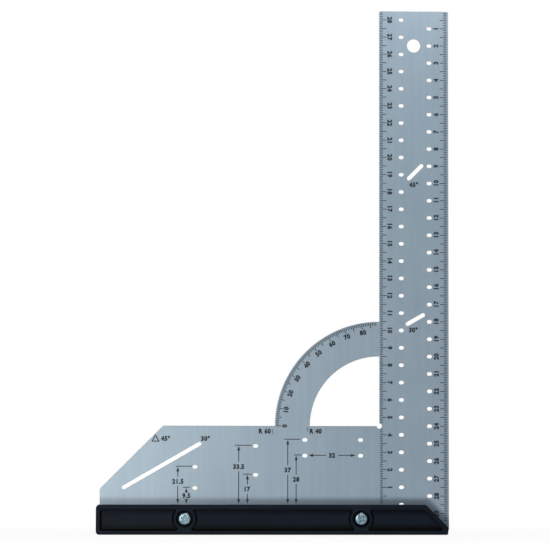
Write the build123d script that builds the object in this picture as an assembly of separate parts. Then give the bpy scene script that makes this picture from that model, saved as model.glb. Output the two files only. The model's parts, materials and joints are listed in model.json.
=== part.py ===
"""Woodworker's set square: one stamped steel sheet clamped in a two-part plastic stop.

The square stands upright on its stop. X runs along the stop, +Z runs up the blade and the marked
face looks along -Y. The origin is at the middle of the overall box, on the stop's underside.
All lengths are in millimetres and all angles in degrees.
"""
import os
from math import cos, radians, tan

from build123d import *

# Steel sheet: a narrow blade, a low plate beside it and a quarter ring in the corner between them
sheet_thickness = 1.0
sheet_width = 200.0
blade_length = 300.0
blade_width = 40.0
plate_height = 60.0
plate_chamfer = 36.0
sheet_corner_radius = 0.8
corner_relief_radius = 1.5
ring_outer_radius = 60.0
ring_inner_radius = 40.0

# Pencil marks through the sheet: short slots that lie along X
mark_length = 2.9
mark_width = 2.1
mark_pitch = 10.0
left_marks_inset = 12.7
right_marks_inset = 11.1
mark_end_margin = 5.0

# Pairs of pencil marks in the plate, as heights above the stop and places along the plate
first_pair_x = 54.3
first_pair_low = 9.5
first_pair_high = 21.5
second_pair_x = 89.0
second_pair_low = 17.0
second_pair_high = 33.5
cup_pairs_x = 117.2
cup_pairs_spacing = 32.0
cup_pairs_low = 28.0
cup_pairs_high = 37.0

# Slanted slots: two short ones in the blade and a long one in the plate
slot_width = 2.3
blade_slot_reach = 10.3
blade_slot_offset = 0.8
steep_slot_angle = 45.0
steep_slot_height = 191.5
shallow_slot_angle = 30.0
shallow_slot_height = 106.3
plate_slot_reach = 49.8
plate_slot_angle = 30.0
plate_slot_x = 35.2
plate_slot_height = 22.2

# Hanging hole at the top of the blade
hanging_hole_radius = 3.9
hanging_hole_drop = 20.0

# Plastic stop: two half shells, the front one with a lip round the sheet's two hidden edges
half_depth = 6.5
sheet_insertion = 15.0
bottom_lip = 2.0
end_lip = 2.0
open_end_inset = 1.0
open_end_chamfer = 12.8
closed_end_radius = 2.0
open_end_radius = 1.0
edge_radius = 0.8
rim_width = 2.8
field_depth = 1.5
field_fillet = 0.6
field_corner_radius = 0.8
field_mouth_radius = 0.7
seat_mouth_radius = 0.3
boss_radius = 6.8
parting_gap = 0.1
pocket_clearance = 0.1

# Clamp screws: pan head machine screws with a cross recess
screw_radius = 2.0
screw_end_chamfer = 0.4
first_screw_x = 48.4
screw_spacing = 100.8
screw_rise = 0.6
head_radius = 4.0
head_height = 3.0
head_crown = 1.9
head_sink = 0.4
recess_span = 4.6
recess_wing = 1.25
recess_depth = 1.9
recess_taper = 9.0
left_screw_turn = 20.0
right_screw_turn = 38.0

# Clamp nuts: hexagon nuts, held from turning by pockets in the rear half
nut_flats = 7.0
nut_height = 3.2
nut_sink = 0.6
nut_edge_angle = 30.0

# Clearances between the pieces
screw_hole_clearance = 0.1
sheet_hole_clearance = 0.3
thread_clearance = 0.05
head_clearance = 0.75
nut_pocket_clearance = 0.1

# Planes and lines that several pieces share
sheet_left = -(end_lip + sheet_width) / 2 + end_lip
sheet_right = sheet_left + sheet_width
sheet_bottom = bottom_lip
stop_top = sheet_bottom + sheet_insertion
sheet_top = sheet_bottom + blade_length
plate_top = sheet_bottom + plate_height
blade_left = sheet_right - blade_width
blade_middle = sheet_right - blade_width / 2
sheet_front = -sheet_thickness / 2
sheet_rear = sheet_thickness / 2
stop_left = sheet_left - end_lip
stop_right = sheet_right - open_end_inset
stop_front = sheet_front - half_depth
stop_rear = sheet_rear + half_depth
screw_height = stop_top / 2 + screw_rise
screw_places = {
    "left": sheet_left + first_screw_x,
    "right": sheet_left + first_screw_x + screw_spacing,
}
recess_turns = {"left": left_screw_turn, "right": right_screw_turn}
head_front = stop_front + head_sink
head_seat = head_front + head_height
screw_end = stop_rear - nut_sink
nut_front = screw_end - nut_height
hexagon_ratio = cos(radians(30))


def slab(outline, front, rear):
    """An outline drawn as seen from the front, made solid between two planes across Y."""
    return Pos(0, rear, 0) * extrude(Plane.XZ * outline, rear - front)


def round_bar(x, z, radius, front, rear):
    """A round bar along Y."""
    return slab(Pos(x, z) * Circle(radius), front, rear)


def slanted_slot(x, z, reach, angle):
    """A slot outline with round ends, tilted up to the right."""
    return Pos(x, z) * Rot(0, 0, angle) * SlotCenterToCenter(reach, slot_width)


# ---------------------------------------------------------------- stamped sheet

def sheet_blank():
    """Blade and plate in one outline, with the plate's far corner cut off."""
    corners = [
        (sheet_left, sheet_bottom),
        (sheet_right, sheet_bottom),
        (sheet_right, sheet_top),
        (blade_left, sheet_top),
        (blade_left, plate_top),
        (sheet_left + plate_chamfer, plate_top),
        (sheet_left, plate_top - plate_chamfer),
    ]
    blank = make_face(Polyline(*corners, close=True))
    inner_corner = Vector(blade_left, plate_top)
    outer_corners = [v for v in blank.vertices() if (Vector(v) - inner_corner).length > sheet_corner_radius]
    return fillet(outer_corners, sheet_corner_radius)


def protractor_ring():
    """A quarter ring centred on the inner corner, from the plate's top round to the blade."""
    ring = Circle(ring_outer_radius) - Circle(ring_inner_radius)
    quadrant = Pos(-ring_outer_radius / 2, ring_outer_radius / 2) * Rectangle(
        ring_outer_radius, ring_outer_radius
    )
    return Pos(blade_left, plate_top) * (ring & quadrant)


def mark_places():
    """Centres of all the pencil marks."""
    left_column = blade_left + left_marks_inset
    right_column = sheet_right - right_marks_inset
    up_count = int((blade_length - sheet_insertion - mark_end_margin) / mark_pitch)
    down_count = int((blade_length - mark_end_margin) / mark_pitch)
    places = [(left_column, stop_top + n * mark_pitch) for n in range(up_count + 1)]
    places += [(right_column, sheet_top - n * mark_pitch) for n in range(1, down_count + 1)]
    for height in (first_pair_low, first_pair_high):
        places.append((sheet_left + first_pair_x, stop_top + height))
    for height in (second_pair_low, second_pair_high):
        places.append((sheet_left + second_pair_x, stop_top + height))
    for height in (cup_pairs_low, cup_pairs_high):
        for shift in (0, cup_pairs_spacing):
            places.append((sheet_left + cup_pairs_x + shift, stop_top + height))
    return places


def sheet_openings():
    """Everything that is punched through the sheet."""
    slot_x = blade_middle + blade_slot_offset
    openings = [Pos(x, z) * SlotOverall(mark_length, mark_width) for x, z in mark_places()]
    openings += [
        slanted_slot(slot_x, stop_top + steep_slot_height, blade_slot_reach, steep_slot_angle),
        slanted_slot(slot_x, stop_top + shallow_slot_height, blade_slot_reach, shallow_slot_angle),
        slanted_slot(
            sheet_left + plate_slot_x, stop_top + plate_slot_height, plate_slot_reach, plate_slot_angle
        ),
        Pos(blade_middle, sheet_top - hanging_hole_drop) * Circle(hanging_hole_radius),
        Pos(blade_left, plate_top) * Circle(corner_relief_radius),
    ]
    for x in screw_places.values():
        openings.append(Pos(x, screw_height) * Circle(screw_radius + sheet_hole_clearance))
    return openings


def set_square_sheet():
    """The whole stamping: blade, plate and protractor ring, pierced by marks, slots and holes."""
    outline = sheet_blank() + protractor_ring()
    return slab(outline - sheet_openings(), sheet_front, sheet_rear)


# ---------------------------------------------------------------- stop halves

def stop_outline():
    """The stop from the front: its closed left end rounded, its open right end cut back at 45 degrees."""
    cut_x = stop_right - open_end_chamfer
    cut_z = stop_top - open_end_chamfer
    corners = [(stop_left, 0), (stop_right, 0), (stop_right, cut_z), (cut_x, stop_top), (stop_left, stop_top)]
    outline = make_face(Polyline(*corners, close=True))
    closed_end = outline.vertices().group_by(Axis.X)[0]
    outline = fillet(closed_end, closed_end_radius)
    open_end_foot = outline.vertices().group_by(Axis.X)[-1].sort_by(Axis.Y)[0]
    return fillet(open_end_foot, open_end_radius)


def flat_face(solid, y):
    """The flat face that a solid has at this place across Y."""
    return min(solid.faces().filter_by(Plane.XZ), key=lambda f: abs(f.center().Y - y))


def half_shell(outer, inner):
    """A solid half of the stop with softened edges on its outer face, not yet pierced."""
    body = slab(stop_outline(), min(outer, inner), max(outer, inner))
    return fillet(flat_face(body, outer).edges(), edge_radius)


def sunk_field(outer, floor):
    """What is sunk inside the rim down to the field's floor, with a boss left round each screw."""
    core = offset(stop_outline(), -rim_width - field_corner_radius, kind=Kind.INTERSECTION)
    for x in screw_places.values():
        core -= Pos(x, screw_height) * Circle(boss_radius + field_corner_radius)
    bays = [offset(bay, field_corner_radius) for bay in core.faces()]
    sunk = [slab(bay, min(outer, floor), max(outer, floor)) for bay in bays]
    return [fillet(flat_face(bay, floor).edges(), field_fillet) for bay in sunk]


def opened(body, cuts, outer, mouth_radius):
    """A body with cuts that open in its outer face, their new mouths rounded as a mould leaves them."""
    old_mouths = [wire.center() for wire in flat_face(body, outer).inner_wires()]
    body = body - cuts
    mouths = []
    for wire in flat_face(body, outer).inner_wires():
        if all((wire.center() - old).length > mouth_radius for old in old_mouths):
            mouths += wire.edges()
    return fillet(mouths, mouth_radius)


def screw_holes():
    """The two clearance holes for the screws, right through the stop."""
    radius = screw_radius + screw_hole_clearance
    return [round_bar(x, screw_height, radius, stop_front, stop_rear) for x in screw_places.values()]


def front_stop_half():
    """The front shell: a pocket for the sheet behind a lip, and a sunk seat for each screw head."""
    body = half_shell(stop_front, sheet_rear - parting_gap)
    pocket_corner = Pos(sheet_left - pocket_clearance, sheet_bottom)
    pocket = pocket_corner * Rectangle(sheet_width + pocket_clearance, sheet_insertion, align=Align.MIN)
    body -= slab(pocket, sheet_front, sheet_rear)
    body = opened(body, sunk_field(stop_front, stop_front + field_depth), stop_front, field_mouth_radius)
    seat_radius = head_radius + head_clearance
    seats = [round_bar(x, screw_height, seat_radius, stop_front, head_seat) for x in screw_places.values()]
    return opened(body, seats, stop_front, seat_mouth_radius) - screw_holes()


def rear_stop_half():
    """The rear shell: flat inside, with a hexagon pocket for each nut in its bosses."""
    body = half_shell(stop_rear, sheet_rear)
    body = opened(body, sunk_field(stop_rear, stop_rear - field_depth), stop_rear, field_mouth_radius)
    pocket_radius = (nut_flats / 2 + nut_pocket_clearance) / hexagon_ratio
    hexagon = RegularPolygon(pocket_radius, 6)
    pockets = [slab(Pos(x, screw_height) * hexagon, nut_front, stop_rear) for x in screw_places.values()]
    return opened(body, pockets, stop_rear, seat_mouth_radius) - screw_holes()


# ---------------------------------------------------------------- clamp screws and nuts

def cross_recess(x, turn):
    """The tapered cross for the driver, sunk into the head from its crown."""
    wings = Rectangle(recess_span, recess_wing) + Rectangle(recess_wing, recess_span)
    mouth = Plane(origin=(x, head_front, screw_height), x_dir=(1, 0, 0), z_dir=(0, 1, 0))
    return extrude(mouth * Rot(0, 0, turn) * wings, recess_depth, taper=recess_taper)


def clamp_screw(x, turn):
    """A pan head screw whose head sits in the front half and whose end comes flush with its nut."""
    head = round_bar(x, screw_height, head_radius, head_front, head_seat)
    crown_edge = head.edges().filter_by(GeomType.CIRCLE).sort_by(Axis.Y)[0]
    head = fillet(crown_edge, head_crown)
    shank = round_bar(x, screw_height, screw_radius, head_seat, screw_end)
    tip = shank.edges().filter_by(GeomType.CIRCLE).sort_by(Axis.Y)[-1]
    shank = chamfer(tip, screw_end_chamfer)
    return head + shank - cross_recess(x, turn)


def clamp_nut(x):
    """A hexagon nut with its corners chamfered on both faces and a plain bore for its thread."""
    corner_radius = nut_flats / 2 / hexagon_ratio
    body = slab(Pos(x, screw_height) * RegularPolygon(corner_radius, 6), nut_front, screw_end)
    turned = round_bar(x, screw_height, corner_radius, nut_front, screw_end)
    rims = turned.edges().filter_by(GeomType.CIRCLE)
    edge_reach = corner_radius - nut_flats / 2
    turned = chamfer(rims, edge_reach * tan(radians(nut_edge_angle)), edge_reach)
    bore = round_bar(x, screw_height, screw_radius + thread_clearance, nut_front, screw_end)
    return (body & turned) - bore


# ---------------------------------------------------------------- all pieces

def all_pieces():
    """Every piece in its place, by name."""
    pieces = {
        "set_square_sheet": set_square_sheet(),
        "front_stop_half": front_stop_half(),
        "rear_stop_half": rear_stop_half(),
    }
    for side, x in screw_places.items():
        pieces[f"{side}_clamp_screw"] = clamp_screw(x, recess_turns[side])
        pieces[f"{side}_clamp_nut"] = clamp_nut(x)
    return pieces


os.makedirs("parts", exist_ok=True)
for name, piece in all_pieces().items():
    export_step(piece, f"parts/{name}.step")
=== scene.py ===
import json
from math import cos, radians, sin

import bpy
from mathutils import Matrix, Vector

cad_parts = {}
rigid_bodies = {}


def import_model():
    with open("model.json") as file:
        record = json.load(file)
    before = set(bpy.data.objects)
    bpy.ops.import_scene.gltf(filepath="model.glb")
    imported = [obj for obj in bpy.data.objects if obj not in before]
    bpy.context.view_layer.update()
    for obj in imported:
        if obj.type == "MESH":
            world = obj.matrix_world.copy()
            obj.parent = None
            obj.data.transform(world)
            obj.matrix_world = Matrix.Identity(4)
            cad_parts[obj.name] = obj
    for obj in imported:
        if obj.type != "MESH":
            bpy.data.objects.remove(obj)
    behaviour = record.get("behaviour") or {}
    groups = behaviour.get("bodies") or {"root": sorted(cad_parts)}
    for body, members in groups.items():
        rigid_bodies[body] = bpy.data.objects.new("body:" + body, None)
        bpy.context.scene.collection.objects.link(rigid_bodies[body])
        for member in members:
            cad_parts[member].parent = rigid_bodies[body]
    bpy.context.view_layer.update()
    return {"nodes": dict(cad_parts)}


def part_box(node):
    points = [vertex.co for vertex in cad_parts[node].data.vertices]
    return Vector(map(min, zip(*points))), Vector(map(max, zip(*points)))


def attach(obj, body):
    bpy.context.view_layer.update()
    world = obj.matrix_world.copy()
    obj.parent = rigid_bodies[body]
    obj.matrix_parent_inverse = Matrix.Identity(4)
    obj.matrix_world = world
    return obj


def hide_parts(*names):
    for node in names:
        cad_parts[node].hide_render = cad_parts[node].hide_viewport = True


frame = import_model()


# Steel sheet -------------------------------------------------------------------------------------
# Blade, foot plate and quarter ring are one stamping of steel a millimetre thick. Slots, holes and
# the corner relief are punched through it, its rims are broken by tumbling, and both of its faces
# are brushed along the blade. Just above the stop the steel is darkened by a painted shade, which
# stands in for the stop's shadow and dark reflection there and is darkest below the blade.

mm = 0.001
sheet_low, sheet_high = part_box("set_square_sheet")
stop_low, stop_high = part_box("front_stop_half")
stop_top = stop_high.z

joining_distance = 0.001 * mm
flat_within = radians(0.3)
rim_width = 0.12 * mm
rim_segments = 2
rim_angle = radians(60)
flat_normal = 0.999
rim_normal = 0.3

white = (1, 1, 1, 1)
noise_span = (0.3, 0.7)
all_of_it = (0, 1)
steel_dark = (0.256, 0.340, 0.423, 1)
steel_light = (0.311, 0.399, 0.482, 1)
steel_roughness = (0.44, 0.54)
grain_size = 0.35 * mm
grain_stretch = (1, 1, 60)
grain_tone = (0, 0.5)
grain_gloss_span = (0.25, 0.75)
grain_depth = 0.004 * mm
grain_strength = 0.5
streak_size = 2.2 * mm
streak_stretch = (1, 1, 40)
streak_lean = (0, radians(0.8), 0)
streak_tone = (0.12, 0.38)
cloud_size = 26 * mm
cloud_stretch = (1, 1, 1.6)
cloud_shade = (0.93, 0.94, 0.95, 1)

cut_steel_dark = (0.24, 0.29, 0.33, 1)
cut_steel_light = (0.40, 0.46, 0.50, 1)
cut_steel_roughness = (0.28, 0.5)
shear_line_size = 0.12 * mm
shear_line_stretch = (1, 14, 1)
shear_line_depth = 0.01 * mm
shear_line_strength = 0.6

# Painted shade of the stop on the steel: its tones at the stop's two ends, and the heights where it is
# full and where it has faded out.
stop_shade_left = (0.73, 0.73, 0.74, 1)
stop_shade_right = (0.46, 0.46, 0.47, 1)
stop_shade_full = 2.3 * mm
stop_shade_end = 4.9 * mm
stop_shade_corner_inset = 12.2 * mm
stop_shade_corner = Vector((stop_high.x - stop_shade_corner_inset, 0, stop_top))
square_to_top = Vector((0, 0, 1))
stop_slant = radians(45)
square_to_slant = Vector((sin(stop_slant), 0, cos(stop_slant)))


def merged_copy(node_name, piece_name):
    """A CAD node's mesh as a piece of its own, with its loose triangles joined."""
    bpy.ops.object.select_all(action="DESELECT")
    piece = bpy.data.objects.new(piece_name, frame["nodes"][node_name].data.copy())
    bpy.context.collection.objects.link(piece)
    bpy.context.view_layer.objects.active = piece
    piece.select_set(True)
    bpy.ops.object.mode_set(mode="EDIT")
    bpy.ops.mesh.select_all(action="SELECT")
    bpy.ops.mesh.remove_doubles(threshold=joining_distance)
    bpy.ops.object.mode_set(mode="OBJECT")
    bpy.ops.mesh.customdata_custom_splitnormals_clear()
    piece.data.materials.clear()
    return piece


def shader_of(material):
    """The material's node tree and its one shader."""
    material.use_nodes = True
    return material.node_tree, material.node_tree.nodes["Principled BSDF"]


def add_node(tree, kind, **settings):
    """A shader node with its settings made."""
    made = tree.nodes.new(kind)
    for name, value in settings.items():
        setattr(made, name, value)
    return made


def feed(tree, value, socket):
    """Links a node's output to a socket, or sets the socket to a plain value."""
    if isinstance(value, bpy.types.NodeSocket):
        tree.links.new(value, socket)
    else:
        socket.default_value = value


def worked_out(tree, operation, first, second):
    """Two values put through one step of arithmetic."""
    step = add_node(tree, "ShaderNodeMath", operation=operation)
    feed(tree, first, step.inputs[0])
    feed(tree, second, step.inputs[1])
    return step.outputs[0]


def place_on_piece(tree):
    """A point's place in the piece's own axes."""
    return add_node(tree, "ShaderNodeTexCoord").outputs["Object"]


def place_along(tree, axis):
    """A point's place along one of the piece's own axes."""
    axes = add_node(tree, "ShaderNodeSeparateXYZ")
    tree.links.new(place_on_piece(tree), axes.inputs[0])
    return axes.outputs[axis]


def stretched_noise(tree, size, stretch, detail, turn=(0, 0, 0)):
    """Noise whose spots are about size across, drawn out along each axis by its stretch."""
    mapping = add_node(tree, "ShaderNodeMapping")
    mapping.inputs["Rotation"].default_value = turn
    mapping.inputs["Scale"].default_value = [1 / share for share in stretch]
    noise = add_node(tree, "ShaderNodeTexNoise")
    noise.inputs["Scale"].default_value = 1 / size
    noise.inputs["Detail"].default_value = detail
    tree.links.new(place_on_piece(tree), mapping.inputs["Vector"])
    tree.links.new(mapping.outputs["Vector"], noise.inputs["Vector"])
    return noise.outputs["Fac"]


def spread(tree, value, span, new_span):
    """A value's span moved to a new one, and held inside it."""
    ranged = add_node(tree, "ShaderNodeMapRange")
    ranged.inputs["From Min"].default_value, ranged.inputs["From Max"].default_value = span
    ranged.inputs["To Min"].default_value, ranged.inputs["To Max"].default_value = new_span
    tree.links.new(value, ranged.inputs["Value"])
    return ranged.outputs["Result"]


def blended(tree, share, first, second, blend="MIX"):
    """Two colours mixed by a share. A Mix node keeps its colours in sockets 6, 7 and 2."""
    mix = add_node(tree, "ShaderNodeMix", data_type="RGBA", blend_type=blend)
    feed(tree, share, mix.inputs["Factor"])
    feed(tree, first, mix.inputs[6])
    feed(tree, second, mix.inputs[7])
    return mix.outputs[2]


def shaded(tree, colour, shade):
    """A colour multiplied by a shade."""
    return blended(tree, 1, colour, shade, blend="MULTIPLY")


def relief(tree, height, depth, strength):
    """A bump of that depth from a height."""
    bump = add_node(tree, "ShaderNodeBump")
    bump.inputs["Distance"].default_value = depth
    bump.inputs["Strength"].default_value = strength
    tree.links.new(height, bump.inputs["Height"])
    return bump.outputs["Normal"]


def past_dust_corner(tree, way):
    """How far past the corner of the stop's painted shade a point lies, measured along one way."""
    along = add_node(tree, "ShaderNodeVectorMath", operation="DOT_PRODUCT")
    along.inputs[1].default_value = way
    tree.links.new(place_on_piece(tree), along.inputs[0])
    return worked_out(tree, "SUBTRACT", along.outputs["Value"], way.dot(stop_shade_corner))


def soil(material, unshaded_share, shade_at_left, shade_at_right):
    """Paints shade into a material's colour where the given share is below 1, by a tone that changes
    along the stop.
    """
    tree, shader = shader_of(material)
    colour = shader.inputs["Base Color"]
    across = spread(tree, place_along(tree, "X"), (stop_low.x, stop_high.x), all_of_it)
    shade = blended(tree, unshaded_share, blended(tree, across, shade_at_left, shade_at_right), white)
    tree.links.new(shaded(tree, colour.links[0].from_socket, shade), colour)


brushed_steel = bpy.data.materials.new("brushed_steel")
tree, shader = shader_of(brushed_steel)
grain = stretched_noise(tree, grain_size, grain_stretch, detail=3)
streaks = stretched_noise(tree, streak_size, streak_stretch, detail=2, turn=streak_lean)
clouds = stretched_noise(tree, cloud_size, cloud_stretch, detail=2)
steel_tone = worked_out(tree, "ADD", spread(tree, grain, noise_span, grain_tone),
                        spread(tree, streaks, noise_span, streak_tone))
brushed = blended(tree, steel_tone, steel_dark, steel_light)
cloudy = blended(tree, spread(tree, clouds, noise_span, all_of_it), cloud_shade, white)
tree.links.new(shaded(tree, brushed, cloudy), shader.inputs["Base Color"])
tree.links.new(spread(tree, grain, grain_gloss_span, steel_roughness), shader.inputs["Roughness"])
tree.links.new(relief(tree, grain, grain_depth, grain_strength), shader.inputs["Normal"])
shader.inputs["Metallic"].default_value = 1
# Painted shade: the steel is darkened a few millimetres above the stop's top and slanted end, in place
# of the stop's shadow and dark reflection, and more so to the right.
from_stop = worked_out(tree, "MAXIMUM", past_dust_corner(tree, square_to_top),
                       past_dust_corner(tree, square_to_slant))
soil(brushed_steel, spread(tree, from_stop, (stop_shade_full, stop_shade_end), all_of_it), stop_shade_left, stop_shade_right)

sheared_edge = bpy.data.materials.new("sheared_edge")
tree, shader = shader_of(sheared_edge)
shear_lines = stretched_noise(tree, shear_line_size, shear_line_stretch, detail=2)
shear_share = spread(tree, shear_lines, noise_span, all_of_it)
tree.links.new(blended(tree, shear_share, cut_steel_dark, cut_steel_light), shader.inputs["Base Color"])
tree.links.new(spread(tree, shear_lines, noise_span, cut_steel_roughness), shader.inputs["Roughness"])
tree.links.new(relief(tree, shear_lines, shear_line_depth, shear_line_strength), shader.inputs["Normal"])
shader.inputs["Metallic"].default_value = 1

steel_sheet = merged_copy("set_square_sheet", "steel_sheet")
bpy.ops.object.mode_set(mode="EDIT")
bpy.ops.mesh.select_all(action="SELECT")
bpy.ops.mesh.dissolve_limited(angle_limit=flat_within)
bpy.ops.object.mode_set(mode="OBJECT")
bpy.ops.object.shade_smooth()
broken_rims = steel_sheet.modifiers.new("broken_rims", "BEVEL")
broken_rims.width = rim_width
broken_rims.segments = rim_segments
broken_rims.limit_method = "ANGLE"
broken_rims.angle_limit = rim_angle
broken_rims.use_clamp_overlap = False
bpy.ops.object.modifier_apply(modifier=broken_rims.name)
steel_sheet.data.materials.append(brushed_steel)
steel_sheet.data.materials.append(sheared_edge)
for face in steel_sheet.data.polygons:
    face.use_smooth = abs(face.normal.y) < flat_normal
    face.material_index = 0 if abs(face.normal.y) > rim_normal else 1
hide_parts("set_square_sheet")
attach(steel_sheet, "square")


# Left scale of the blade -------------------------------------------------------------------------
# Dark ink, printed on the blade's left edge: millimetres and centimetres, counted up from the stop.
# The numbers lie on their side and read downwards, and there are no ticks at the corner relief.

centimetre = 10 * mm
blade_width = 40 * mm
plate_height = 60 * mm
blade_left = sheet_high.x - blade_width
plate_top = sheet_low.z + plate_height
tick_width = 0.40 * mm
stroke_rounding = 0.08 * mm
tick_group = 5
left_tick_start = 0.45 * mm
left_short_end = 2.0 * mm
left_long_end = 4.1 * mm
left_number_inset = 6.1 * mm
left_scale_length = 285
left_number_count = 28
relief_reach = 1.6 * mm

number_height = 2.87 * mm
number_squeeze = 0.95
number_weight = 0.062
letter_spacing = 1.12
letter_curve_steps = 3
letter_cap_height = 0.69
letter_half_depth = 0.1

ink_height = 0.03 * mm
ink_root = 0.01 * mm
ink_depth = ink_height + ink_root
ink_middle = sheet_low.y + (ink_root - ink_height) / 2
ink_dark = (0.006, 0.009, 0.013, 1)
ink_worn = (0.018, 0.025, 0.034, 1)
ink_wear_span = (0.35, 0.7)
ink_roughness = (0.42, 0.58)
ink_gloss = 0.3
ink_patch_size = 1.1 * mm
ink_grit_size = 0.09 * mm
ink_grit_depth = 0.004 * mm
ink_grit_strength = 0.4
even = (1, 1, 1)

scale_ink = bpy.data.materials.new("scale_ink")
tree, shader = shader_of(scale_ink)
ink_patches = stretched_noise(tree, ink_patch_size, even, detail=4)
ink_grit = stretched_noise(tree, ink_grit_size, even, detail=2)
ink_wear = spread(tree, ink_patches, ink_wear_span, all_of_it)
tree.links.new(blended(tree, ink_wear, ink_dark, ink_worn), shader.inputs["Base Color"])
tree.links.new(spread(tree, ink_patches, noise_span, ink_roughness), shader.inputs["Roughness"])
tree.links.new(relief(tree, ink_grit, ink_grit_depth, ink_grit_strength), shader.inputs["Normal"])
shader.inputs["Specular IOR Level"].default_value = ink_gloss


def printed_bar(name, x_from, x_to, z_from, z_to):
    """A printed stroke on the sheet's front, a little proud of it, with softened corners."""
    bpy.ops.object.select_all(action="DESELECT")
    middle = ((x_from + x_to) / 2, ink_middle, (z_from + z_to) / 2)
    bpy.ops.mesh.primitive_cube_add(size=1, location=middle)
    bar = bpy.context.object
    bar.name = name
    bar.scale = (x_to - x_from, ink_depth, z_to - z_from)
    bpy.ops.object.transform_apply(location=True, rotation=True, scale=True)
    bpy.ops.object.mode_set(mode="EDIT")
    bpy.ops.mesh.select_all(action="DESELECT")
    bpy.ops.object.mode_set(mode="OBJECT")
    for edge in bar.data.edges:
        start, end = (bar.data.vertices[corner].co for corner in edge.vertices)
        edge.select = abs(start.y - end.y) > ink_height / 2
    bpy.ops.object.mode_set(mode="EDIT")
    bpy.ops.mesh.bevel(offset=stroke_rounding, segments=1, affect="EDGES")
    bpy.ops.object.mode_set(mode="OBJECT")
    return bar


def repeated(piece, step, count):
    """The piece repeated along a step, as one mesh."""
    bpy.ops.object.select_all(action="DESELECT")
    piece.select_set(True)
    bpy.context.view_layer.objects.active = piece
    row = piece.modifiers.new("row", "ARRAY")
    row.use_relative_offset = False
    row.use_constant_offset = True
    row.constant_offset_displace = step
    row.count = count
    bpy.ops.object.modifier_apply(modifier=row.name)
    return piece


def joined(pieces, name):
    """Pieces made one mesh."""
    bpy.ops.object.select_all(action="DESELECT")
    for piece in pieces:
        piece.select_set(True)
    bpy.context.view_layer.objects.active = pieces[0]
    bpy.ops.object.join()
    pieces[0].name = name
    pieces[0].data.name = name
    return pieces[0]


def stood_up(turn):
    """Turns what lies flat to face the sheet's front, after a turn anticlockwise by turn degrees."""
    return Matrix.Rotation(radians(90), 4, "X") @ Matrix.Rotation(radians(turn), 4, "Z")


def printed_text(words, x, z, turn=0):
    """Words printed on the sheet's front, middle at x and z, turned anticlockwise by turn degrees."""
    bpy.ops.object.select_all(action="DESELECT")
    bpy.ops.object.text_add(location=(0, 0, 0))
    lettering = bpy.context.object
    lettering.data.body = words
    lettering.data.size = 1
    lettering.data.offset = number_weight
    lettering.data.space_character = letter_spacing
    lettering.data.resolution_u = letter_curve_steps
    lettering.data.extrude = letter_half_depth
    bpy.ops.object.convert(target="MESH")
    corners = [vertex.co.x for vertex in lettering.data.vertices]
    middle_x = (min(corners) + max(corners)) / 2
    size = number_height / (letter_cap_height + 2 * number_weight)
    flat = Matrix.Translation((-middle_x, -letter_cap_height / 2, 0))
    sized = Matrix.Diagonal((size * number_squeeze, size, ink_depth / (2 * letter_half_depth), 1))
    placed = Matrix.Translation((x, ink_middle, z))
    lettering.data.transform(placed @ stood_up(turn) @ sized @ flat)
    bpy.ops.object.mode_set(mode="EDIT")
    bpy.ops.mesh.select_all(action="SELECT")
    bpy.ops.mesh.remove_doubles(threshold=joining_distance)
    bpy.ops.mesh.normals_make_consistent(inside=False)
    bpy.ops.object.mode_set(mode="OBJECT")
    return lettering


def inked(piece):
    """Gives a print its ink and fixes it to the sheet."""
    piece.data.materials.clear()
    piece.data.materials.append(scale_ink)
    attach(piece, "square")


def tick_run(name, x_start, x_short, x_long, z_zero, way, length):
    """Millimetre ticks from z_zero up (way 1) or down (way -1), with each fifth one longer."""
    short_z = z_zero + way * mm
    long_z = z_zero + way * tick_group * mm
    short = printed_bar(name, min(x_start, x_short), max(x_start, x_short),
                        short_z - tick_width / 2, short_z + tick_width / 2)
    repeated(short, (0, 0, way * mm), tick_group - 1)
    repeated(short, (0, 0, way * tick_group * mm), length // tick_group)
    long = printed_bar(name, min(x_start, x_long), max(x_start, x_long),
                       long_z - tick_width / 2, long_z + tick_width / 2)
    repeated(long, (0, 0, way * tick_group * mm), (length - 1) // tick_group)
    return joined([short, long], name)


def scrape_off(piece, hidden):
    """Deletes the strokes of a print whose middle lies where hidden says."""
    bpy.ops.object.select_all(action="DESELECT")
    piece.select_set(True)
    bpy.context.view_layer.objects.active = piece
    bpy.ops.object.mode_set(mode="EDIT")
    bpy.ops.mesh.select_mode(type="FACE")
    bpy.ops.mesh.select_all(action="DESELECT")
    bpy.ops.object.mode_set(mode="OBJECT")
    for face in piece.data.polygons:
        face.select = hidden(face.center)
    bpy.ops.object.mode_set(mode="EDIT")
    bpy.ops.mesh.select_linked()
    bpy.ops.mesh.delete(type="FACE")
    bpy.ops.object.mode_set(mode="OBJECT")


left_ticks = tick_run("left_scale_ticks", blade_left + left_tick_start, blade_left + left_short_end,
                      blade_left + left_long_end, stop_top, 1, left_scale_length)
scrape_off(left_ticks, lambda middle: abs(middle.z - plate_top) < relief_reach)
inked(left_ticks)

left_numbers = [
    printed_text(str(number), blade_left + left_number_inset, stop_top + number * centimetre, turn=-90)
    for number in range(1, left_number_count + 1)
]
inked(joined(left_numbers, "left_scale_numbers"))


# Right scale of the blade ------------------------------------------------------------------------
# The same ink on the right edge, counted down from the blade's top. Its numbers read upwards, and
# the lowest ticks end where the stop's slanted corner covers the sheet.

right_edge = sheet_high.x
right_tick_start = 0.9 * mm
right_short_end = 2.8 * mm
right_long_end = 4.9 * mm
right_number_inset = 7.15 * mm
right_scale_length = 295
right_number_count = 29
teens_lift = 0.4 * mm

right_ticks = tick_run("right_scale_ticks", right_edge - right_tick_start, right_edge - right_short_end,
                       right_edge - right_long_end, sheet_high.z, -1, right_scale_length)
inked(right_ticks)

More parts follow.
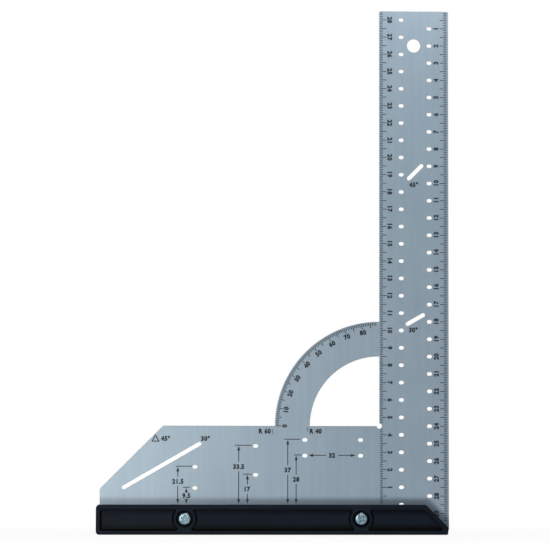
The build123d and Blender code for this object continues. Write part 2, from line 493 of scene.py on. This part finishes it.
right_numbers = []
for number in range(1, right_number_count + 1):
    lift = teens_lift if 10 <= number < 20 else 0
    number_z = sheet_high.z - number * centimetre + lift
    right_numbers.append(printed_text(str(number), right_edge - right_number_inset, number_z, turn=90))
inked(joined(right_numbers, "right_scale_numbers"))


# Angle scale of the quarter ring -----------------------------------------------------------------
# The same ink along the ring's outer edge: a tick for each degree, from none at the plate's top line
# up to the blade, and a number at every tenth. The numbers stand with their feet to the corner.

ring_middle = Vector((blade_left, 0, plate_top))
degree_tick_outer = 59.45 * mm
degree_tick_inner = 57.75 * mm
fifth_tick_inner = 56.3 * mm
degree_number_radius = 54.45 * mm
degree_tick_width = 0.45 * mm
last_degree_tick = 88
degree_number_step = 10

degree_ticks = []
for degree in range(last_degree_tick + 1):
    inner = fifth_tick_inner if degree % tick_group == 0 else degree_tick_inner
    tick = printed_bar("degree_tick", -degree_tick_outer, -inner,
                       -degree_tick_width / 2, degree_tick_width / 2)
    tick.data.transform(Matrix.Translation(ring_middle) @ Matrix.Rotation(radians(degree), 4, "Y"))
    degree_ticks.append(tick)
inked(joined(degree_ticks, "angle_scale_ticks"))

degree_numbers = []
for degree in range(0, last_degree_tick, degree_number_step):
    x = ring_middle.x - cos(radians(degree)) * degree_number_radius
    z = ring_middle.z + sin(radians(degree)) * degree_number_radius
    degree_numbers.append(printed_text(str(degree), x, z, turn=90 - degree))
inked(joined(degree_numbers, "angle_scale_numbers"))


# Words at the slots and the ring -----------------------------------------------------------------
# The same ink marks each slanted slot with its angle, the plate's bevelled corner with a triangle
# and 45 degrees, and the ring with its two radii, each beside a short line at its own edge.

slot_and_ring_words = [
    # words, and their middle in millimetres from the sheet's left and above the stop
    ("45°", 179.9, 184.2),
    ("30°", 179.6, 100.3),
    ("45°", 37.4, 37.7),
    ("30°", 60.2, 37.7),
    ("R 60", 94.2, 42.0),
    ("R 40", 123.4, 42.0),
]
ring_edge_lines = [
    # name, left and right from the sheet's left, foot and top above the stop, in millimetres
    ("r60_line", 98.6, 98.9, 40.4, 43.2),
    ("r40_line", 118.5, 118.8, 41.8, 44.5),
]
corner_sign_x = sheet_low.x + 31.7 * mm
corner_sign_z = stop_top + 37.3 * mm
corner_sign_width = 4.9 * mm
corner_sign_stroke = 0.6 * mm

labels = []
for words, across, up in slot_and_ring_words:
    labels.append(printed_text(words, sheet_low.x + across * mm, stop_top + up * mm))
for name, left, right, foot, top in ring_edge_lines:
    labels.append(printed_bar(name, sheet_low.x + left * mm, sheet_low.x + right * mm,
                              stop_top + foot * mm, stop_top + top * mm))
inked(joined(labels, "angle_and_radius_words"))

bpy.ops.object.select_all(action="DESELECT")
bpy.ops.mesh.primitive_circle_add(vertices=3, radius=corner_sign_width / (2 * cos(radians(30))),
                                  fill_type="NGON", location=(0, 0, 0))
corner_sign = bpy.context.object
corner_sign.name = "corner_angle_sign"
corner_sign_place = Matrix.Translation((corner_sign_x, sheet_low.y - ink_height, corner_sign_z))
corner_sign.data.transform(corner_sign_place @ stood_up(0))
bpy.ops.object.mode_set(mode="EDIT")
bpy.ops.mesh.select_all(action="SELECT")
bpy.ops.mesh.inset(thickness=corner_sign_stroke)
bpy.ops.mesh.delete(type="FACE")
bpy.ops.object.mode_set(mode="OBJECT")
sign_depth = corner_sign.modifiers.new("sign_depth", "SOLIDIFY")
sign_depth.thickness = ink_depth
sign_depth.offset = -1
bpy.ops.object.modifier_apply(modifier=sign_depth.name)
inked(corner_sign)


# Drawing of the marking holes --------------------------------------------------------------------
# Dimension lines in the same ink give the height of the marking holes above the stop, and the
# distance between the last two pairs. A line breaks for its number and ends in arrowheads.

line_width = 0.48 * mm
arrow_length = 2.8 * mm
arrow_width = 1.8 * mm
line_inset = 0.9 * arrow_length
foot_gap = 0.4 * mm
extension_lift = 0.4 * mm
number_gap = 2.6 * mm
height_lines = [
    # number, and in millimetres: height of its holes, its own height, place of the line, and left
    # and right end of the extension line
    ("21,5", 21.5, 13.2, 44.5, 43.2, 52.7),
    ("9,5", 9.5, 5.1, 49.4, 47.3, 51.4),
    ("33,5", 33.5, 21.7, 79.3, 77.0, 86.7),
    ("17", 17.0, 8.9, 84.3, 81.9, 86.6),
    ("37", 37.0, 19.8, 107.4, 105.3, 114.6),
    ("28", 28.0, 14.5, 112.2, 110.9, 115.4),
]
pair_line_z = stop_top + 28.2 * mm
pair_line_from = sheet_low.x + 119.2 * mm
pair_line_to = sheet_low.x + 146.3 * mm
pair_number_x = sheet_low.x + 132.8 * mm
pair_number_gap = 3.4 * mm


def arrowhead(x, z, turn):
    """A filled arrowhead with its tip at x and z. It points up, turned anticlockwise by turn degrees."""
    bpy.ops.object.select_all(action="DESELECT")
    bpy.ops.mesh.primitive_circle_add(vertices=3, radius=1, fill_type="NGON", location=(0, 0, 0))
    head = bpy.context.object
    tip = max(vertex.co.y for vertex in head.data.vertices)
    half = max(vertex.co.x for vertex in head.data.vertices)
    foot = min(vertex.co.y for vertex in head.data.vertices)
    sized = Matrix.Diagonal((arrow_width / 2 / half, arrow_length / (tip - foot), 1, 1))
    head.data.transform(sized @ Matrix.Translation((0, -tip, 0)))
    bpy.ops.object.mode_set(mode="EDIT")
    bpy.ops.mesh.select_all(action="SELECT")
    bpy.ops.mesh.extrude_region_move(TRANSFORM_OT_translate={"value": (0, 0, ink_depth)})
    bpy.ops.mesh.select_all(action="SELECT")
    bpy.ops.mesh.normals_make_consistent(inside=False)
    bpy.ops.object.mode_set(mode="OBJECT")
    head.data.transform(Matrix.Translation((x, sheet_low.y + ink_root, z)) @ stood_up(turn))
    return head


def upright_line(x, z_from, z_to):
    """A printed line that stands at x."""
    return printed_bar("line", x - line_width / 2, x + line_width / 2, z_from, z_to)


def level_line(name, x_from, x_to, z):
    """A printed line that lies at z."""
    return printed_bar(name, x_from, x_to, z - line_width / 2, z + line_width / 2)


drawing = []
for number, hole_height, number_up, line_across, extension_from, extension_to in height_lines:
    x = sheet_low.x + line_across * mm
    top = stop_top + hole_height * mm + extension_lift
    foot = stop_top + foot_gap
    middle = stop_top + number_up * mm
    drawing.append(level_line("extension", sheet_low.x + extension_from * mm,
                              sheet_low.x + extension_to * mm, top))
    drawing.append(arrowhead(x, top - line_width / 2, 0))
    drawing.append(arrowhead(x, foot, 180))
    if middle - number_gap > foot + arrow_length:
        drawing.append(upright_line(x, foot + line_inset, middle - number_gap))
    if middle + number_gap < top - arrow_length:
        drawing.append(upright_line(x, middle + number_gap, top - line_inset))
    drawing.append(printed_text(number, x, middle))

drawing.append(arrowhead(pair_line_from, pair_line_z, 90))
drawing.append(arrowhead(pair_line_to, pair_line_z, -90))
drawing.append(level_line("line", pair_line_from + line_inset, pair_number_x - pair_number_gap,
                          pair_line_z))
drawing.append(level_line("line", pair_number_x + pair_number_gap, pair_line_to - line_inset,
                          pair_line_z))
drawing.append(printed_text("32", pair_number_x, pair_line_z))
inked(joined(drawing, "marking_hole_drawing"))


# Stop halves -------------------------------------------------------------------------------------
# Two shells moulded in black plastic clamp the sheet's foot between them. Each has a raised rim round
# a sunk field, two round bosses for the screws, and the fine spark texture of its mould. A painted
# shade darkens the sunk fields along their upper and lower walls, more so on the right, and the
# roundings that don't face down, below the top edge, are painted near black as shade.

plastic_dark = (0.0050, 0.0090, 0.0171, 1)
plastic_light = (0.0085, 0.0138, 0.0240, 1)
plastic_roughness = (0.44, 0.56)
plastic_gloss = 0.06
# Painted shade: the near-black colour of the roundings that don't face down stands in for the shade in
# them.
rounding_dark = (0.0005, 0.0008, 0.0015, 1)
rounding_light = (0.0011, 0.0016, 0.0026, 1)
rounding_roughness = (0.38, 0.48)
rounding_gloss = 0.04
flow_mark_size = 9 * mm
flow_mark_stretch = (3, 1, 1)
spark_grain_size = 0.22 * mm
spark_grain_depth = 0.02 * mm
spark_grain_strength = 0.35

stop_rim = 2.8 * mm
field_depth = 1.5 * mm
field_wall = stop_high.z - stop_rim
field_foot = stop_low.z + stop_rim
field_floor = max(abs(stop_low.y), abs(stop_high.y)) - field_depth
near_floor = 0.05 * mm
outer_edge = 1.3 * mm
steepest_rounding = 0.1
flattest_rounding = 0.985
underside = -0.3
shell_smoothing = 28

# Painted shade on the sunk fields: its tones at the stop's two ends, and the heights where it fades out
# from the upper and lower walls.
field_shade_left = (0.38, 0.38, 0.38, 1)
field_shade_right = (0.02, 0.02, 0.02, 1)
upper_field_shade = (1, 0.1)
upper_field_shade_span = (field_wall - 3.4 * mm, field_wall - 0.4 * mm)
lower_field_shade_span = (field_foot + 1.2 * mm, field_foot + 4.0 * mm)


def moulded_finish(name, dark, light, roughness, gloss):
    """Black plastic with the flow marks of its mould."""
    material = bpy.data.materials.new(name)
    tree, shader = shader_of(material)
    flow_marks = stretched_noise(tree, flow_mark_size, flow_mark_stretch, detail=3)
    flow_share = spread(tree, flow_marks, noise_span, all_of_it)
    tree.links.new(blended(tree, flow_share, dark, light), shader.inputs["Base Color"])
    tree.links.new(spread(tree, flow_marks, noise_span, roughness), shader.inputs["Roughness"])
    shader.inputs["Specular IOR Level"].default_value = gloss
    return material


def spark_texture(material):
    """Gives a material the fine grain that a spark-eroded mould leaves."""
    tree, shader = shader_of(material)
    spark_grain = stretched_noise(tree, spark_grain_size, even, detail=3)
    tree.links.new(relief(tree, spark_grain, spark_grain_depth, spark_grain_strength),
                   shader.inputs["Normal"])


def shell_piece(node_name, piece_name, material, body, smoothing):
    """A piece whose CAD shape is right: it is joined up, shaded smooth and given its material."""
    piece = merged_copy(node_name, piece_name)
    bpy.ops.object.shade_smooth_by_angle(angle=radians(smoothing))
    piece.data.materials.append(material)
    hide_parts(node_name)
    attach(piece, body)
    return piece


moulded_plastic = moulded_finish("moulded_plastic", plastic_dark, plastic_light,
                                 plastic_roughness, plastic_gloss)
spark_texture(moulded_plastic)

# The roundings' material, a painted shade.
painted_shade_rounding = moulded_finish("painted_shade_rounding", rounding_dark, rounding_light,
                                rounding_roughness, rounding_gloss)

sunk_field_plastic = moulded_finish("sunk_field_plastic", plastic_dark, plastic_light,
                                    plastic_roughness, plastic_gloss)
spark_texture(sunk_field_plastic)
tree, shader = shader_of(sunk_field_plastic)
# Painted shade: the sunk field is darker near its upper and lower walls, where the rim shades it, and
# darker towards the right.
unshaded_share = worked_out(tree, "MINIMUM", spread(tree, place_along(tree, "Z"), lower_field_shade_span, all_of_it),
                   spread(tree, place_along(tree, "Z"), upper_field_shade_span, upper_field_shade))
soil(sunk_field_plastic, unshaded_share, field_shade_left, field_shade_right)

for node_name, piece_name, body in (("front_stop_half", "front_stop_shell", "square"),
                                    ("rear_stop_half", "rear_stop_shell", "rear_jaw")):
    shell = shell_piece(node_name, piece_name, moulded_plastic, body, shell_smoothing)
    shell.data.materials.append(painted_shade_rounding)
    shell.data.materials.append(sunk_field_plastic)
    # Roundings that don't face down, below the top edge, get the painted shade, and faces on the fields'
    # floors get the field material with its painted shade.
    for face in shell.data.polygons:
        rounded = steepest_rounding < abs(face.normal.y) < flattest_rounding
        if rounded and face.normal.z > underside and face.center.z < stop_top - outer_edge:
            face.material_index = 1
        elif abs(abs(face.center.y) - field_floor) < near_floor:
            face.material_index = 2


# Clamp screws and nuts ---------------------------------------------------------------------------
# Two M4 pan head screws with a cross recess, cold headed from steel, and the hexagon nuts that they
# draw on, which sit in pockets of the rear shell. All are zinc plated, a bluish mottled grey.

zinc_dark = (0.165, 0.265, 0.33, 1)
zinc_light = (0.34, 0.48, 0.56, 1)
zinc_span = (0.35, 0.65)
zinc_roughness = (0.24, 0.40)
plating_size = 0.8 * mm
handling_size = 0.1 * mm
handling_stretch = (6, 1, 1)
handling_turn = (0, radians(35), 0)
handling_depth = 0.004 * mm
handling_strength = 0.3
zinc_smoothing = 30

zinc_plate = bpy.data.materials.new("zinc_plate")
tree, shader = shader_of(zinc_plate)
plating = stretched_noise(tree, plating_size, even, detail=4)
handling = stretched_noise(tree, handling_size, handling_stretch, detail=3, turn=handling_turn)
plating_share = spread(tree, plating, zinc_span, all_of_it)
tree.links.new(blended(tree, plating_share, zinc_dark, zinc_light), shader.inputs["Base Color"])
tree.links.new(spread(tree, plating, noise_span, zinc_roughness), shader.inputs["Roughness"])
tree.links.new(relief(tree, handling, handling_depth, handling_strength), shader.inputs["Normal"])
shader.inputs["Metallic"].default_value = 1

for side in ("left", "right"):
    shell_piece(side + "_clamp_screw", side + "_pan_head_screw", zinc_plate,
                side + "_screw", zinc_smoothing)
    shell_piece(side + "_clamp_nut", side + "_hexagon_nut", zinc_plate,
                "rear_jaw", zinc_smoothing)


# Studio ------------------------------------------------------------------------------------------
# A plain pale floor that keeps a soft shadow near the object, a white surround that gives less
# light from above, and three soft lamps: high on the right, beside the plate and at the blade's top.

floor_size = 4.0
floor_colour = (0.96, 0.96, 0.96, 1)
floor_roughness = 0.8
glow_reach = (0, 0.17)
glow_from_foot = (0.90, 1)
glow_flattening = (0.5, 1, 0)
shine_reach = (-0.4, 0.4)
shine_left_to_right = (1.0, 0.3)
overhead_reach = (0.2, 0.85)
ambient_level_to_overhead = (0.60, 0.20)
white_light = (1, 1, 1)
warm_light = (1, 0.9, 0.78)
lamps = [
    # name, place, aim, width, height, power, colour
    ("high_right_lamp", (0.35, -0.9, 0.7), (0.08, 0, 0.2), 0.4, 0.4, 1.4, white_light),
    ("plate_lamp", (-0.22, -0.48, 0.04), (0, 0, 0.04), 0.22, 0.3, 1.58, warm_light),
    ("blade_top_lamp", (0.10, -0.22, 0.47), (0.08, 0, 0.3), 0.12, 0.1, 0.35, warm_light),
]
camera_place = (-0.0600, -1.5048, 0.0573)
camera_tilt_up = 3.471
camera_turn_right = 2.317
camera_roll = 0.115
camera_lens = 171.687
camera_sensor = 36
camera_sight = 20


def seen_directly(tree):
    """1 for rays that come from the camera, straight or through something clear, and 0 for light."""
    light_path = add_node(tree, "ShaderNodeLightPath")
    return worked_out(tree, "MAXIMUM", light_path.outputs["Is Camera Ray"],
                      light_path.outputs["Is Transmission Ray"])


bpy.ops.object.select_all(action="DESELECT")
bpy.ops.mesh.primitive_plane_add(size=floor_size, location=(0, 0, 0))
floor = bpy.context.object
floor.name = "studio_floor"
pale_floor = bpy.data.materials.new("pale_floor")
tree, shader = shader_of(pale_floor)
shader.inputs["Base Color"].default_value = floor_colour
shader.inputs["Roughness"].default_value = floor_roughness
flattened = add_node(tree, "ShaderNodeVectorMath", operation="MULTIPLY")
flattened.inputs[1].default_value = glow_flattening
tree.links.new(place_on_piece(tree), flattened.inputs[0])
distance = add_node(tree, "ShaderNodeVectorMath", operation="LENGTH")
tree.links.new(flattened.outputs["Vector"], distance.inputs[0])
glow = spread(tree, distance.outputs["Value"], glow_reach, glow_from_foot)
shine = spread(tree, place_along(tree, "X"), shine_reach, shine_left_to_right)
mirrored = add_node(tree, "ShaderNodeLightPath").outputs["Is Glossy Ray"]
white_share = worked_out(tree, "MAXIMUM", worked_out(tree, "MULTIPLY", glow, seen_directly(tree)),
                         worked_out(tree, "MULTIPLY", shine, mirrored))
white_glow = add_node(tree, "ShaderNodeEmission")
floor_mix = add_node(tree, "ShaderNodeMixShader")
tree.links.new(white_share, floor_mix.inputs[0])
tree.links.new(shader.outputs[0], floor_mix.inputs[1])
tree.links.new(white_glow.outputs[0], floor_mix.inputs[2])
tree.links.new(floor_mix.outputs[0], tree.nodes["Material Output"].inputs["Surface"])
floor.data.materials.append(pale_floor)

world = bpy.data.worlds.new("white_surround")
bpy.context.scene.world = world
world.use_nodes = True
tree = world.node_tree
surround = tree.nodes["Background"]
surround.inputs["Color"].default_value = white
direction = add_node(tree, "ShaderNodeTexCoord")
parts = add_node(tree, "ShaderNodeSeparateXYZ")
tree.links.new(direction.outputs["Generated"], parts.inputs[0])
given = spread(tree, parts.outputs["Z"], overhead_reach, ambient_level_to_overhead)
tree.links.new(worked_out(tree, "MAXIMUM", given, seen_directly(tree)), surround.inputs["Strength"])

for name, place, aim, width, height, power, colour in lamps:
    lamp = bpy.data.lights.new(name, "AREA")
    lamp.shape = "RECTANGLE"
    lamp.size = width
    lamp.size_y = height
    lamp.energy = power
    lamp.color = colour
    holder = bpy.data.objects.new(name, lamp)
    bpy.context.collection.objects.link(holder)
    holder.location = place
    holder.rotation_euler = (Vector(aim) - Vector(place)).to_track_quat("-Z", "Y").to_euler()
    holder.visible_camera = False

turned = Matrix.Rotation(radians(-camera_turn_right), 4, "Z")
tilted = Matrix.Rotation(radians(90 + camera_tilt_up), 4, "X")
rolled = Matrix.Rotation(radians(camera_roll), 4, "Z")
bpy.ops.object.camera_add(location=camera_place, rotation=(turned @ tilted @ rolled).to_euler())
camera = bpy.context.object
camera.data.sensor_width = camera_sensor
camera.data.lens = camera_lens
camera.data.clip_end = camera_sight
bpy.context.scene.camera = camera
bpy.context.scene.view_settings.view_transform = "Standard"
